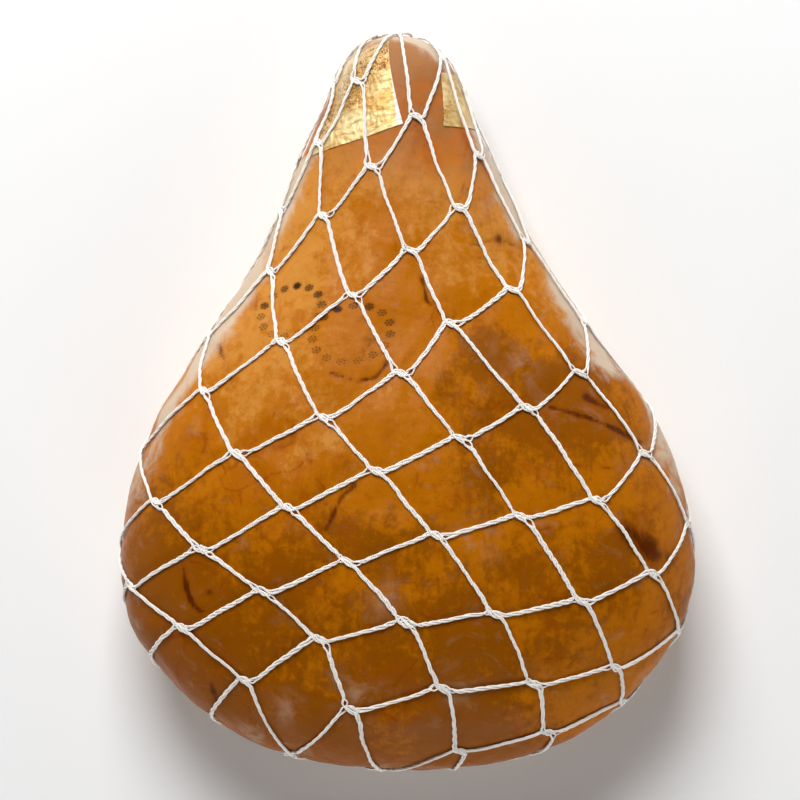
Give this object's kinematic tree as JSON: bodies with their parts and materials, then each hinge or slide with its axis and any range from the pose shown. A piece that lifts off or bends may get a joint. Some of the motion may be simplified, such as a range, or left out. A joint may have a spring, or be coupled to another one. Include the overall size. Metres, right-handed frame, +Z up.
{
  "type": "cured ham",
  "caption": "Whole boneless dry-cured ham, pear-shaped, rind side up, in a tied cotton net, with gold foil labels on the shank.",
  "frame": {"origin": "on the table, under the middle of the ham's length and width", "axes": "+Y along the ham towards the shank tip, +Z up from the flat underside to the rind"},
  "size_m": [0.3159, 0.4064, 0.1221],
  "materials": {
    "ham_rind": "amber-brown cured rind, mottled, greasy semi-gloss",
    "cotton_net": "undyed braided cotton, matte",
    "twine": "twisted cotton twine, matte",
    "gold_foil": "crinkled gold-coloured foil on white paper"
  },
  "bodies": {
    "root": {"ham": "ham_rind", "net": "cotton_net", "shank_tie": "twine", "butt_tie": "twine", "foil_label_left": "gold_foil", "foil_label_right": "gold_foil"}
  },
  "joints": []
}
